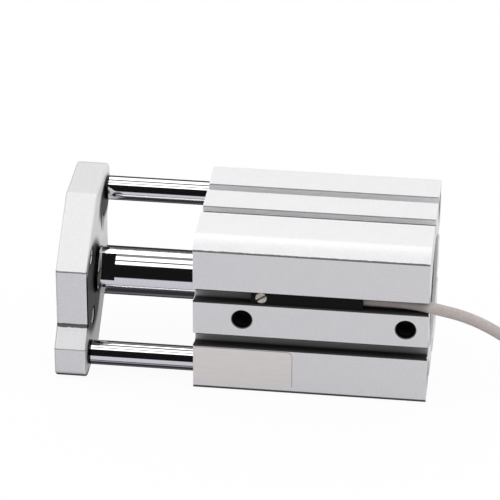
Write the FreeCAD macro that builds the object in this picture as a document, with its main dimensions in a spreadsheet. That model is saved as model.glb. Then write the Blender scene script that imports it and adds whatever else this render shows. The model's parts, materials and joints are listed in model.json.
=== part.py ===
"""Guided pneumatic cylinder: square-body compact cylinder, 25 mm bore, with two guide rods.

Millimetres. X runs along the piston rod, from the end plate (-X) to the head end (+X).
Z is up, -Y is the side with the air ports. The origin is on the piston's axis, at the
face of the body that the rods come out of. The rods stand almost fully extended.
"""
import FreeCAD, Part
import math
import os
import re
import sys

import Sketcher
from FreeCAD import Rotation, Vector

# Driving sizes: each becomes one cell of the sheet, and every sub-part is bound to them.
SIZES = {
    # square body, an extrusion along X
    "body_width": 40.0, "body_height": 40.0,
    "band_run": 5.85, "band_drop": 2.0, "band_radius": 14.0, "corner_radius": 0.6,
    # sensor slots: a narrow mouth over a round channel
    "slot_mouth": 3.2, "slot_channel": 4.6, "slot_centre_depth": 2.6,
    "side_slot_pitch": 12.2, "top_slot_pitch": 11.4, "top_slot_setback": 16.8,
    # cylinder bore, the seats of the two covers and the snap rings that hold them
    "bore_diameter": 25.0, "seat_diameter": 27.4, "rod_seat_depth": 11.6, "head_seat_depth": 5.2,
    "ring_thickness": 1.2, "ring_groove_diameter": 28.8, "ring_width": 2.3,
    "rod_ring_setback": 1.8, "head_ring_setback": 0.8, "ring_play": 0.05,
    "ring_gap_angle": 42.0, "ring_ear_radius": 2.2, "ring_eye_diameter": 1.6,
    # piston travel
    "stroke": 25.0, "rest_gap": 26.25, "retracted_gap": 5.0,
    "piston_length": 12.0, "bumper_thickness": 1.2, "end_play": 0.15,
    # M5 air ports
    "port_setback": 11.8, "head_port_setback": 5.4, "port_tap": 4.2, "port_mouth": 5.3,
    "port_depth": 5.5, "passage_diameter": 2.0, "passage_shift": 1.0,
    # through holes for mounting bolts, tapped M6 from both ends
    "bolt_edge": 6.0, "mount_hole": 5.2, "mount_mouth": 6.0,
    # guide rods and their bushes
    "guide_edge_y": 4.8, "guide_edge_z": 5.3, "guide_diameter": 6.0,
    "bush_diameter": 7.6, "bush_length": 12.0, "front_bush_setback": 1.5, "rear_bush_setback": 17.5,
    "guide_reach": 34.0, "guide_chamfer": 0.5,
    # clearances
    "fit_gap": 0.02, "running_gap": 0.04,
    # piston rod
    "rod_diameter": 12.0, "rod_chamfer": 0.6, "rod_flats": 10.0, "flats_length": 5.0,
    "flats_angle": 52.5, "spigot_diameter": 8.0, "spigot_overhang": 0.2,
    "rod_tap_depth": 12.0,
    # rod cover
    "rod_bush_outer": 14.0, "rod_bush_length": 4.5, "lip_thickness": 0.9, "lip_gap": 0.3,
    "rod_seal_outer": 17.2, "rod_seal_length": 2.6, "seal_vee_width": 1.0, "seal_vee_depth": 1.3,
    "o_ring_section": 1.4, "o_ring_land": 2.2, "cover_chamfer": 0.4,
    # bumpers
    "rod_bumper_inner": 13.2, "rod_bumper_outer": 20.0,
    "head_bumper_inner": 16.6, "head_bumper_outer": 21.0,
    # piston
    "piston_gap": 0.2, "wall_thickness": 1.15, "seal_width": 2.4, "seal_depth": 2.15,
    "magnet_width": 2.6, "magnet_depth": 2.75, "wear_width": 2.7, "wear_depth": 0.95,
    "nut_recess_diameter": 15.6, "nut_recess_depth": 4.5, "nut_across_flats": 13.0,
    "nut_thickness": 4.0, "spigot_ring_section": 1.0,
    # end plate
    "plate_thickness": 7.8, "plate_inset": 0.05, "waist_depth": 4.52, "plate_shelf": 1.8,
    "waist_height": 7.3, "ramp_rise": 4.4, "plate_corner": 2.4, "plate_chamfer": 0.35,
    "plate_hole_pitch": 16.6, "plate_tap": 4.2, "plate_tap_mouth": 5.0, "guide_seat_depth": 2.0,
    # screws that hold the rods to the plate
    "centre_thread": 6.0, "centre_head": 12.0, "centre_screw_length": 17.0, "centre_key": 5.0,
    "guide_thread": 3.0, "guide_head": 6.0, "guide_screw_length": 14.0, "guide_key": 2.5,
    "screw_hole_gap": 0.2, "head_sink": 0.3, "screw_tip": 0.4, "socket_floor": 0.8,
    "thread_gap": 0.03,
    # position switch in the upper front slot
    "switch_setback": 14.0, "switch_length": 26.8, "switch_gap": 0.14, "neck_gap": 0.08,
    "switch_sink": 0.25,
    "switch_cavity_length": 22.0, "switch_cavity_height": 2.8, "switch_cavity_depth": 2.2,
    "switch_plug_length": 1.6, "board_length": 19.0, "board_thickness": 0.8, "board_height": 2.4,
    "chip_length": 3.0, "chip_width": 1.6, "chip_thickness": 0.7, "chip_start": 3.8,
    "chip_pitch": 7.6, "clamp_setback": 2.4, "clamp_diameter": 2.7,
    "clamp_length": 4.1, "clamp_slot_width": 0.5, "clamp_slot_depth": 0.7, "clamp_slot_angle": 34.0,
    # rating plate, a thin blank film
    "label_length": 23.8, "label_slot_gap": 0.6, "label_floor_gap": 1.9, "label_thickness": 0.08,
    "label_corner": 1.4, "label_inset": 0.3,
    # switch lead
    "cable_diameter": 2.8, "coil_diameter": 31.0, "coil_rows": 2.0, "coil_slack": 0.2,
    "tie_width": 3.0, "tie_thickness": 0.4, "tie_gap": 0.15, "cable_tail": 12.0,
    "wire_diameter": 1.2, "wire_spacing": 0.7,
}

# Points that the free stretch of the switch lead follows, from the switch to its coil.
CABLE_ROUTE = [
    (40.8, -17.4, 6.1), (50.8, -17.4, 6.1), (61.6, -17.9, 6.1), (71.0, -18.4, 1.7),
    (79.5, -18.6, -4.4), (87.0, -17.8, -11.4), (93.6, -15.9, -15.1), (98.6, -13.6, -15.1),
]
# Points of one stripped wire, counted from the end of the jacket; the other one mirrors it.
WIRE_ROUTE = [(0.0, 0.0), (0.0, 6.5), (2.2, 14.0), (3.0, 20.5)]

document = FreeCAD.newDocument("guided_cylinder")
sheet = document.addObject("Spreadsheet::Sheet", "Sizes")
nodes = []


def fill_sheet():
    """Write each driving size as one plain number with a name of its own."""
    for row, (name, size) in enumerate(SIZES.items(), start=1):
        sheet.set(f"A{row}", name)
        sheet.set(f"B{row}", str(size))
        sheet.setAlias(f"B{row}", name)
    document.recompute()


def value(formula):
    """Work a formula of the sheet's names out to a number."""
    return float(sheet.evalExpression(str(formula)))


def linked(formula):
    """The same formula, written so that another object of the document can use it."""
    return re.sub(r"[a-z]\w*", lambda word: "Sizes." + word[0] if word[0] in SIZES else word[0],
                  str(formula))


# Places and lengths that several sub-parts share, all worked out from the sheet.
HALF_WIDTH = "body_width / 2"
HALF_HEIGHT = "body_height / 2"
BODY_LENGTH = ("(rod_seat_depth + head_seat_depth + 2 * bumper_thickness + 2 * end_play"
               " + piston_length + stroke)")
PLATE_BACK = "(-rest_gap)"
PLATE_FRONT = "(-rest_gap - plate_thickness)"
PISTON_FRONT = ("(rod_seat_depth + bumper_thickness + end_play + stroke"
                " - rest_gap + retracted_gap)")
ROD_COVER_START = "(rod_ring_setback + ring_thickness + ring_play)"
HEAD_COVER_START = f"({BODY_LENGTH} - head_seat_depth)"
HEAD_COVER_END = f"({BODY_LENGTH} - head_ring_setback - ring_thickness - ring_play)"
ROD_LINE = "(rod_diameter / 2)"
PISTON_RADIUS = "(bore_diameter / 2 - piston_gap)"
SLOT_Y = "(slot_centre_depth - body_width / 2)"
SLOT_Z = "(side_slot_pitch / 2)"
GUIDE_Y = "(body_width / 2 - guide_edge_y)"
GUIDE_Z = "(body_height / 2 - guide_edge_z)"
BOLT_Y = "(body_width / 2 - bolt_edge)"
BOLT_Z = "(body_height / 2 - bolt_edge)"
PLATE_SIDE = "(body_width / 2 - plate_inset)"
PLATE_TOP = "(body_height / 2 - plate_inset)"
FLOOR = "(-body_height / 2)"
OVERCUT = "1"


# --- sketching and feature helpers ---------------------------------------------------------

def new_body(label, x="0", y="0", z="0"):
    """Start a sub-part at a place given by three formulas."""
    body = document.addObject("PartDesign::Body", label)
    body.Label = label
    nodes.append(body)
    for axis, formula in zip("xyz", (x, y, z)):
        if value(formula):
            body.setExpression(f"Placement.Base.{axis}", linked(formula))
    return body


def sketch_on(body, plane, name, offset="0"):
    """A sketch on one of the body's own planes, moved along that plane's normal."""
    sketch = body.newObject("Sketcher::SketchObject", name)
    origin_plane = next(item for item in body.Origin.OriginFeatures if item.Role == plane)
    sketch.AttachmentSupport = (origin_plane, [""])
    sketch.MapMode = "FlatFace"
    if value(offset):
        sketch.setExpression(".AttachmentOffset.Base.z", linked(offset))
    return sketch


def bind(sketch, index, formula):
    """Tie a constraint to its formula, unless that is a bare number."""
    if linked(formula) != str(formula):
        sketch.setExpression(f"Constraints[{index}]", linked(formula))


def pin(sketch, edge, end, place):
    """Hold one point of an edge at a place given by two formulas."""
    for kind, formula in zip(("DistanceX", "DistanceY"), place):
        rule = Sketcher.Constraint(kind, -1, 1, edge, end, value(formula))
        bind(sketch, sketch.addConstraint(rule), formula)


def arc_between(start, end, radius):
    """The shorter arc from start to end that turns left."""
    middle = (start + end) * 0.5
    chord = end - start
    rise = math.sqrt(max(radius ** 2 - (chord.Length / 2) ** 2, 0.0))
    centre = middle + Vector(-chord.y, chord.x, 0).normalize() * rise
    angles = [math.atan2(point.y - centre.y, point.x - centre.x) for point in (start, end)]
    return Part.ArcOfCircle(Part.Circle(centre, Vector(0, 0, 1), radius), *angles)


def outline(sketch, corners, arcs=None):
    """A closed outline, counterclockwise; arcs gives the radius of the edge after a corner."""
    arcs = arcs or {}
    points = [Vector(value(x), value(y), 0) for x, y in corners]
    first = sketch.GeometryCount
    count = len(points)
    for place, start in enumerate(points):
        end = points[(place + 1) % count]
        if place in arcs:
            edge = sketch.addGeometry(arc_between(start, end, value(arcs[place])))
            rule = Sketcher.Constraint("Radius", edge, value(arcs[place]))
            bind(sketch, sketch.addConstraint(rule), arcs[place])
        else:
            edge = sketch.addGeometry(Part.LineSegment(start, end))
    for place in range(count):
        follower = first + (place + 1) % count
        sketch.addConstraint(Sketcher.Constraint("Coincident", first + place, 2, follower, 1))
        pin(sketch, first + place, 1, corners[place])


def rectangle(sketch, low, high):
    """A rectangle between two opposite corners."""
    outline(sketch, [low, (high[0], low[1]), high, (low[0], high[1])])


def circle(sketch, centre, diameter):
    """A circle of a given diameter about a point."""
    round_edge = Part.Circle(Vector(value(centre[0]), value(centre[1]), 0), Vector(0, 0, 1),
                             value(diameter) / 2)
    edge = sketch.addGeometry(round_edge)
    pin(sketch, edge, 3, centre)
    rule = Sketcher.Constraint("Diameter", edge, value(diameter))
    bind(sketch, sketch.addConstraint(rule), diameter)


def feature(body, kind, name, sketch):
    """Add a PartDesign feature that uses a sketch."""
    made = body.newObject(f"PartDesign::{kind}", name)
    made.Profile = sketch
    sketch.Visibility = False
    return made


def pad(body, sketch, length, name, flipped=False):
    """Extrude a sketch along its normal."""
    made = feature(body, "Pad", name, sketch)
    made.setExpression("Length", linked(length))
    made.Reversed = flipped
    return made


def pocket(body, sketch, name, length=None, flipped=False):
    """Cut a sketch into the body: against its normal, or along it when flipped."""
    made = feature(body, "Pocket", name, sketch)
    if length is None:
        made.Type = "ThroughAll"
    else:
        made.setExpression("Length", linked(length))
    made.Reversed = flipped
    return made


def turned(body, profile, name="turned", kind="Revolution"):
    """Turn a closed profile of (along X, radius) points about the body's X axis."""
    sketch = sketch_on(body, "XZ_Plane", name + "_profile")
    outline(sketch, profile)
    made = feature(body, kind, name, sketch)
    made.ReferenceAxis = (sketch, ["H_Axis"])
    made.Angle = 360.0
    return made


def drilled(body, plane, name, offset, axis_from, axis_to, profile):
    """Cut a round, stepped hole: a profile turned about a line in the sketch."""
    sketch = sketch_on(body, plane, name + "_profile", offset)
    outline(sketch, profile)
    start, end = (Vector(value(x), value(y), 0) for x, y in (axis_from, axis_to))
    line = sketch.addGeometry(Part.LineSegment(start, end), True)
    pin(sketch, line, 1, axis_from)
    pin(sketch, line, 2, axis_to)
    made = feature(body, "Groove", name, sketch)
    made.ReferenceAxis = (sketch, ["Axis0"])
    made.Angle = 360.0
    return made


def sunk_hole(body, name, y, z, length, bore, mouth):
    """A hole along X right through a piece of a given length, countersunk at both ends."""
    sink = f"({mouth} - {bore}) / 2"
    before, after = f"-{OVERCUT}", f"{length} + {OVERCUT}"
    wall, rim = f"{y} + {bore} / 2", f"{y} + {mouth} / 2"
    drilled(body, "XY_Plane", name, z, (before, y), (after, y),
            [(before, y), (after, y), (after, rim), (length, rim), (f"{length} - {sink}", wall),
             (sink, wall), ("0", rim), (before, rim)])


def ring_part(label, start, length, inner, outer, y="0", z="0"):
    """A plain turned ring that lies along X from its start."""
    body = new_body(label, start, y, z)
    rectangle_profile = [("0", f"{inner} / 2"), (length, f"{inner} / 2"),
                         (length, f"{outer} / 2"), ("0", f"{outer} / 2")]
    turned(body, rectangle_profile)
    return body


def o_ring(label, centre_x, centre_radius, section):
    """A round-section ring about the X axis."""
    body = new_body(label, centre_x)
    sketch = sketch_on(body, "XZ_Plane", "section")
    circle(sketch, ("0", centre_radius), section)
    made = feature(body, "Revolution", "ring", sketch)
    made.ReferenceAxis = (sketch, ["H_Axis"])
    made.Angle = 360.0


# --- body ----------------------------------------------------------------------------------

def body_outline(sketch):
    """Square section: two wide bevelled bands and two small round corners, by half-turn symmetry."""
    corners = [
        (f"band_run - {HALF_WIDTH}", HALF_HEIGHT),
        (f"-{HALF_WIDTH}", f"{HALF_HEIGHT} - band_drop"),
        (f"-{HALF_WIDTH}", f"corner_radius - {HALF_HEIGHT}"),
        (f"corner_radius - {HALF_WIDTH}", f"-{HALF_HEIGHT}"),
    ]
    corners += [(f"-({x})", f"-({y})") for x, y in corners]
    bands = {place: "band_radius" for place in (0, 4)}
    rounds = {place: "corner_radius" for place in (2, 6)}
    outline(sketch, corners, {**bands, **rounds})


def slot_places():
    """Each slot as (along the face, sign of the face, is it on the top or bottom face)."""
    for side in (-1, 1):
        for half in (-1, 1):
            yield f"{half} * side_slot_pitch / 2", side, False
            middle = f"{side} * (body_width / 2 - top_slot_setback)"
            yield f"{middle} + {half} * top_slot_pitch / 2", side, True


def cut_slots(body):
    """Eight sensor slots, two on each long face: first the mouths, then the round channels."""
    mouths = sketch_on(body, "YZ_Plane", "slot_mouths")
    channels = sketch_on(body, "YZ_Plane", "slot_channels")
    for along, side, level in slot_places():
        half = HALF_HEIGHT if level else HALF_WIDTH
        edges = (f"{side} * ({half} + {OVERCUT})", f"{side} * ({half} - slot_centre_depth)")
        low, high = sorted(edges, key=value)
        narrow = (f"{along} - slot_mouth / 2", f"{along} + slot_mouth / 2")
        depth = f"{side} * ({half} - slot_centre_depth)"
        if level:
            rectangle(mouths, (narrow[0], low), (narrow[1], high))
            circle(channels, (along, depth), "slot_channel")
        else:
            rectangle(mouths, (low, narrow[0]), (high, narrow[1]))
            circle(channels, (depth, along), "slot_channel")
    pocket(body, mouths, "mouths", flipped=True)
    pocket(body, channels, "channels", flipped=True)


def cut_bores(body):
    """The cylinder bore and two guide bores, all right through, then the two bolt holes."""
    sketch = sketch_on(body, "YZ_Plane", "bores")
    circle(sketch, ("0", "0"), "bore_diameter")
    for sign in (-1, 1):
        circle(sketch, (f"{sign} * {GUIDE_Y}", f"{sign} * {GUIDE_Z}"),
               "bush_diameter + 2 * fit_gap")
    pocket(body, sketch, "through_bores", flipped=True)
    for name, sign in (("front_bolt_hole", -1), ("back_bolt_hole", 1)):
        sunk_hole(body, name, f"{sign} * {BOLT_Y}", f"{-sign} * {BOLT_Z}", BODY_LENGTH,
                  "mount_hole", "mount_mouth")


def cut_seats(body):
    """The wider seat of each cover, with the groove of its snap ring."""
    seat = "seat_diameter / 2"
    groove = "ring_groove_diameter / 2"
    ring_start = "rod_ring_setback"
    ring_end = "rod_ring_setback + ring_thickness + 2 * ring_play"
    turned(body, [(f"-{OVERCUT}", "0"), ("rod_seat_depth", "0"), ("rod_seat_depth", seat),
                  (ring_end, seat), (ring_end, groove), (ring_start, groove),
                  (ring_start, seat), (f"-{OVERCUT}", seat)], "rod_seat", "Groove")
    ring_end = f"{BODY_LENGTH} - head_ring_setback"
    ring_start = f"{ring_end} - ring_thickness - 2 * ring_play"
    outside = f"{BODY_LENGTH} + {OVERCUT}"
    turned(body, [(HEAD_COVER_START, "0"), (outside, "0"), (outside, seat), (ring_end, seat),
                  (ring_end, groove), (ring_start, groove), (ring_start, seat),
                  (HEAD_COVER_START, seat)], "head_seat", "Groove")


def cut_ports(body):
    """Two tapped air ports with countersunk mouths, and the passage from each to the bore."""
    face = f"(-{HALF_WIDTH})"
    bottom = f"{face} + port_depth"
    passages = sketch_on(body, "XZ_Plane", "port_passages")
    places = (("rod_port", "port_setback", "passage_shift"),
              ("head_port", f"({BODY_LENGTH} - head_port_setback)", "-passage_shift"))
    for name, centre, shift in places:
        wall = f"{centre} + port_tap / 2"
        mouth = f"{centre} + port_mouth / 2"
        sunk = f"{face} + (port_mouth - port_tap) / 2"
        above = f"{face} - {OVERCUT}"
        drilled(body, "XY_Plane", name, "0", (centre, above), (centre, bottom),
                [(centre, above), (mouth, above), (mouth, face), (wall, sunk),
                 (wall, bottom), (centre, bottom)])
        circle(passages, (f"{centre} + {shift}", "0"), "passage_diameter")
    pocket(body, passages, "passages", f"{HALF_WIDTH} - port_depth + fit_gap", flipped=True)


def make_body_extrusion():
    """The square aluminium body."""
    body = new_body("body_extrusion")
    section = sketch_on(body, "YZ_Plane", "section")
    body_outline(section)
    pad(body, section, BODY_LENGTH, "extrusion")
    cut_slots(body)
    cut_bores(body)
    cut_seats(body)
    cut_ports(body)


# --- covers, seals and rings at the two ends of the bore --------------------------------------

def make_snap_ring(label, start):
    """An internal snap ring: a C with an eye in each ear for the pliers."""
    body = new_body(label, start)
    outer = "ring_groove_diameter - 2 * ring_play"
    middle = "(ring_groove_diameter / 2 - ring_width / 2)"
    band = sketch_on(body, "YZ_Plane", "band")
    circle(band, ("0", "0"), outer)
    circle(band, ("0", "0"), "ring_groove_diameter - 2 * ring_width")
    pad(body, band, "ring_thickness", "ring")
    gap = sketch_on(body, "YZ_Plane", "gap")
    reach = "ring_groove_diameter"
    spread = f"{reach} * tan(ring_gap_angle / 2 * 1 deg)"
    outline(gap, [("0", "0"), (f"-{spread}", f"-{reach}"), (spread, f"-{reach}")])
    pocket(body, gap, "gap_cut", flipped=True)
    ears = sketch_on(body, "YZ_Plane", "ears")
    eyes = sketch_on(body, "YZ_Plane", "eyes")
    ear_line = f"({middle} - ring_ear_radius + ring_width / 2 - ring_play)"
    for sign in (-1, 1):
        place = (f"{sign} * {ear_line} * sin(ring_gap_angle / 2 * 1 deg)",
                 f"-{ear_line} * cos(ring_gap_angle / 2 * 1 deg)")
        circle(ears, place, "2 * ring_ear_radius")
        circle(eyes, place, "ring_eye_diameter")
    pad(body, ears, "ring_thickness", "ear_pads")
    pocket(body, eyes, "eye_holes", flipped=True)


def make_rod_end():
    """Rod cover with its bush, rod seal, o-ring, snap ring and bumper."""
    length = f"(rod_seat_depth - {ROD_COVER_START})"
    outer = "(seat_diameter / 2 - fit_gap)"
    lip = "(rod_diameter / 2 + lip_gap)"
    seal_seat = "(rod_seal_outer / 2 + fit_gap)"
    seal_end = "(lip_thickness + rod_seal_length + 2 * fit_gap)"
    bush_seat = "(rod_bush_outer / 2 + fit_gap)"
    bush_start = f"({length} - rod_bush_length - fit_gap)"
    ring_floor = f"({outer} - o_ring_section)"
    ring_start = f"({length} - o_ring_land - o_ring_section - 2 * fit_gap)"
    ring_end = f"({length} - o_ring_land)"
    cover = new_body("rod_cover", ROD_COVER_START)
    turned(cover, [
        ("0", lip), ("lip_thickness", lip), ("lip_thickness", seal_seat), (seal_end, seal_seat),
        (seal_end, lip), (bush_start, lip), (bush_start, bush_seat), (length, bush_seat),
        (length, outer), (ring_end, outer), (ring_end, ring_floor), (ring_start, ring_floor),
        (ring_start, outer), ("cover_chamfer", outer), ("0", f"{outer} - cover_chamfer")])
    sliding = "rod_diameter + 2 * running_gap"
    ring_part("rod_bush", f"{ROD_COVER_START} + {bush_start} + fit_gap", "rod_bush_length",
              f"({sliding})", "rod_bush_outer")
    make_rod_seal(f"{ROD_COVER_START} + lip_thickness + fit_gap")
    o_ring("rod_cover_o_ring", f"{ROD_COVER_START} + ({ring_start} + {ring_end}) / 2",
           f"{outer} - o_ring_section / 2", "o_ring_section - fit_gap")
    make_snap_ring("rod_snap_ring", "rod_ring_setback + ring_play")
    ring_part("rod_bumper", "rod_seat_depth", "bumper_thickness", "rod_bumper_inner",
              "rod_bumper_outer")


def make_rod_seal(start):
    """A lip seal: a ring with a V groove open towards the pressure."""
    seal = new_body("rod_seal", start)
    inner = "(rod_diameter / 2 + running_gap)"
    outer = "(rod_seal_outer / 2)"
    middle = f"({inner} + {outer}) / 2"
    turned(seal, [("0", inner), ("rod_seal_length", inner),
                  ("rod_seal_length", f"{middle} - seal_vee_width / 2"),
                  ("rod_seal_length - seal_vee_depth", middle),
                  ("rod_seal_length", f"{middle} + seal_vee_width / 2"),
                  ("rod_seal_length", outer), ("0", outer)])


def make_head_end():
    """Head cover with its o-ring, snap ring and bumper."""
    length = f"({HEAD_COVER_END} - {HEAD_COVER_START})"
    outer = "(seat_diameter / 2 - fit_gap)"
    ring_floor = f"({outer} - o_ring_section)"
    ring_start = f"(({length} - o_ring_section) / 2 - fit_gap)"
    ring_end = f"(({length} + o_ring_section) / 2 + fit_gap)"
    dish = "head_bumper_outer / 2"
    cover = new_body("head_cover", HEAD_COVER_START)
    turned(cover, [
        ("0", "0"), (f"{length} - cover_chamfer", "0"), (f"{length} - cover_chamfer", dish),
        (length, f"{dish} + cover_chamfer"), (length, f"{outer} - cover_chamfer"),
        (f"{length} - cover_chamfer", outer), (ring_end, outer), (ring_end, ring_floor),
        (ring_start, ring_floor), (ring_start, outer), ("0", outer)])
    o_ring("head_cover_o_ring", f"{HEAD_COVER_START} + {length} / 2",
           f"{outer} - o_ring_section / 2", "o_ring_section - fit_gap")
    make_snap_ring("head_snap_ring", f"{HEAD_COVER_END} + ring_play / 2")
    ring_part("head_bumper", f"{HEAD_COVER_START} - bumper_thickness", "bumper_thickness",
              "head_bumper_inner", "head_bumper_outer")


def make_guide_bushes():
    """Two sliding bushes for each guide rod, near the rod end and halfway along."""
    for rod, sign in (("upper", 1), ("lower", -1)):
        for place, start in (("front", "front_bush_setback"), ("rear", "rear_bush_setback")):
            ring_part(f"{rod}_guide_bush_{place}", start, "bush_length",
                      "(guide_diameter + 2 * running_gap)", "bush_diameter",
                      f"{sign} * {GUIDE_Y}", f"{sign} * {GUIDE_Z}")


# --- carriage: plate, rods and piston -----------------------------------------------------------

def make_end_plate():
    """The end plate: a lobed outline, tapped holes and sunk screw holes."""
    plate = new_body("end_plate", PLATE_FRONT)
    section = sketch_on(plate, "YZ_Plane", "section")
    waist = f"waist_depth - {PLATE_SIDE}"
    half_outline = [
        ("plate_shelf", PLATE_TOP),
        (waist, "waist_height"),
        (waist, "-waist_height"),
        (f"-{PLATE_SIDE}", "-waist_height - ramp_rise"),
        (f"-{PLATE_SIDE}", f"plate_corner - {PLATE_TOP}"),
        (f"plate_corner - {PLATE_SIDE}", f"-{PLATE_TOP}"),
    ]
    corners = half_outline + [(f"-({x})", f"-({y})") for x, y in half_outline]
    outline(section, corners, {4: "plate_corner", 10: "plate_corner"})
    block = pad(plate, section, "plate_thickness", "block")
    document.recompute()
    ends = [f"Face{place}" for place, face in enumerate(block.Shape.Faces, start=1)
            if abs(face.normalAt(0, 0).x) > 0.99]
    edges = plate.newObject("PartDesign::Chamfer", "edge_breaks")
    edges.Base = (block, ends)
    edges.setExpression("Size", linked("plate_chamfer"))
    block.Visibility = False
    for across, side in ((-1, "front"), (1, "back")):
        for up, level in ((-1, "low"), (1, "high")):
            sunk_hole(plate, f"{side}_{level}_tapped", f"{across} * plate_hole_pitch / 2",
                      f"{up} * plate_hole_pitch / 2", "plate_thickness", "plate_tap",
                      "plate_tap_mouth")
    screw_hole(plate, "centre_hole", "0", "0", "centre_thread", "centre_head")
    for name, sign in (("upper_hole", 1), ("lower_hole", -1)):
        screw_hole(plate, name, f"{sign} * {GUIDE_Y}", f"{sign} * {GUIDE_Z}", "guide_thread",
                   "guide_head")
    seats = sketch_on(plate, "YZ_Plane", "guide_seats", "plate_thickness")
    for sign in (-1, 1):
        circle(seats, (f"{sign} * {GUIDE_Y}", f"{sign} * {GUIDE_Z}"),
               "guide_diameter + 2 * fit_gap")
    pocket(plate, seats, "guide_seat_cuts", "guide_seat_depth")


def screw_hole(plate, name, y, z, thread, head):
    """A clearance hole with a 90 degree sink for a flat-headed screw."""
    rim = f"{y} + {head} / 2 + screw_hole_gap"
    wall = f"{y} + {thread} / 2 + screw_hole_gap"
    drilled(plate, "XY_Plane", name, z, (f"-{OVERCUT}", y), (f"plate_thickness + {OVERCUT}", y),
            [(f"-{OVERCUT}", y), (f"plate_thickness + {OVERCUT}", y),
             (f"plate_thickness + {OVERCUT}", wall), (f"head_sink + ({head} - {thread}) / 2", wall),
             ("head_sink", rim), (f"-{OVERCUT}", rim)])


def make_flat_screw(label, thread, head, key, length, y="0", z="0"):
    """A flat-headed socket screw, its head just below the plate's outer face."""
    body = new_body(label, f"{PLATE_FRONT} + head_sink", y, z)
    cone = f"({head} - {thread}) / 2"
    turned(body, [("0", "0"), (length, "0"), (length, f"{thread} / 2 - screw_tip"),
                  (f"{length} - screw_tip", f"{thread} / 2"), (cone, f"{thread} / 2"),
                  ("0", f"{head} / 2")])
    socket = sketch_on(body, "YZ_Plane", "socket")
    hexagon(socket, key)
    pocket(body, socket, "socket_cut", f"{cone} - socket_floor", flipped=True)
    return body


def hexagon(sketch, across_flats):
    """A regular hexagon with two corners on the sketch's X axis."""
    side = f"({across_flats} / sqrt(3))"
    half = f"({across_flats} / 2)"
    right = [(side, "0"), (f"{side} / 2", half), (f"-{side} / 2", half)]
    outline(sketch, right + [(f"-({x})", f"-({y})") for x, y in right])


def make_guide_screws():
    """Both guide rod screws, one node with two separate solids."""
    screws = []
    for name, sign in (("upper", 1), ("lower", -1)):
        screws.append(make_flat_screw(f"{name}_screw", "guide_thread", "guide_head", "guide_key",
                                      "guide_screw_length", f"{sign} * {GUIDE_Y}",
                                      f"{sign} * {GUIDE_Z}"))
        nodes.remove(screws[-1])
    group = document.addObject("Part::Compound", "guide_rod_screws")
    group.Label = "guide_rod_screws"
    group.Links = screws
    nodes.append(group)


def make_rods():
    """Piston rod with wrench flats and spigot, and two guide rods."""
    rod = new_body("piston_rod", PLATE_BACK)
    shoulder = f"({PISTON_FRONT} - {PLATE_BACK})"
    tip = f"({shoulder} + piston_length - nut_recess_depth + nut_thickness + spigot_overhang)"
    spigot = "(spigot_diameter / 2)"
    thread = "centre_thread / 2 + thread_gap"
    groove_start = f"({shoulder} + wall_thickness)"
    groove_end = f"({groove_start} + spigot_ring_section + 2 * fit_gap)"
    groove_floor = f"{spigot} - spigot_ring_section + fit_gap"
    turned(rod, [
        ("rod_tap_depth", "0"), (tip, "0"), (tip, f"{spigot} - rod_chamfer"),
        (f"{tip} - rod_chamfer", spigot), (groove_end, spigot), (groove_end, groove_floor),
        (groove_start, groove_floor), (groove_start, spigot), (shoulder, spigot),
        (shoulder, ROD_LINE), ("rod_chamfer", ROD_LINE), ("0", f"{ROD_LINE} - rod_chamfer"),
        ("0", thread), ("rod_tap_depth", thread)])
    flats = sketch_on(rod, "XZ_Plane", "wrench_flats", f"-{ROD_LINE}")
    for sign in (1, -1):
        low, high = sorted((f"{sign} * rod_flats / 2", f"{sign} * rod_diameter"), key=value)
        rectangle(flats, (f"-{OVERCUT}", low), ("flats_length", high))
    cut = pocket(rod, flats, "flats_cut")
    cut.Type = "ThroughAll"
    cut.Midplane = True
    rod.Placement.Rotation = Rotation(Vector(1, 0, 0), value("flats_angle"))
    rod.setExpression("Placement.Rotation.Angle", linked("flats_angle"))
    for name, sign in (("upper_guide_rod", 1), ("lower_guide_rod", -1)):
        guide = new_body(name, f"{PLATE_BACK} - guide_seat_depth", f"{sign} * {GUIDE_Y}",
                         f"{sign} * {GUIDE_Z}")
        end = f"(guide_reach - {PLATE_BACK} + guide_seat_depth)"
        radius = "guide_diameter / 2"
        hole = "guide_thread / 2 + thread_gap"
        depth = "guide_screw_length"
        turned(guide, [("0", hole), (depth, hole), (depth, "0"), (end, "0"),
                       (end, f"{radius} - guide_chamfer"), (f"{end} - guide_chamfer", radius),
                       ("guide_chamfer", radius), ("0", f"{radius} - guide_chamfer")])


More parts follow.
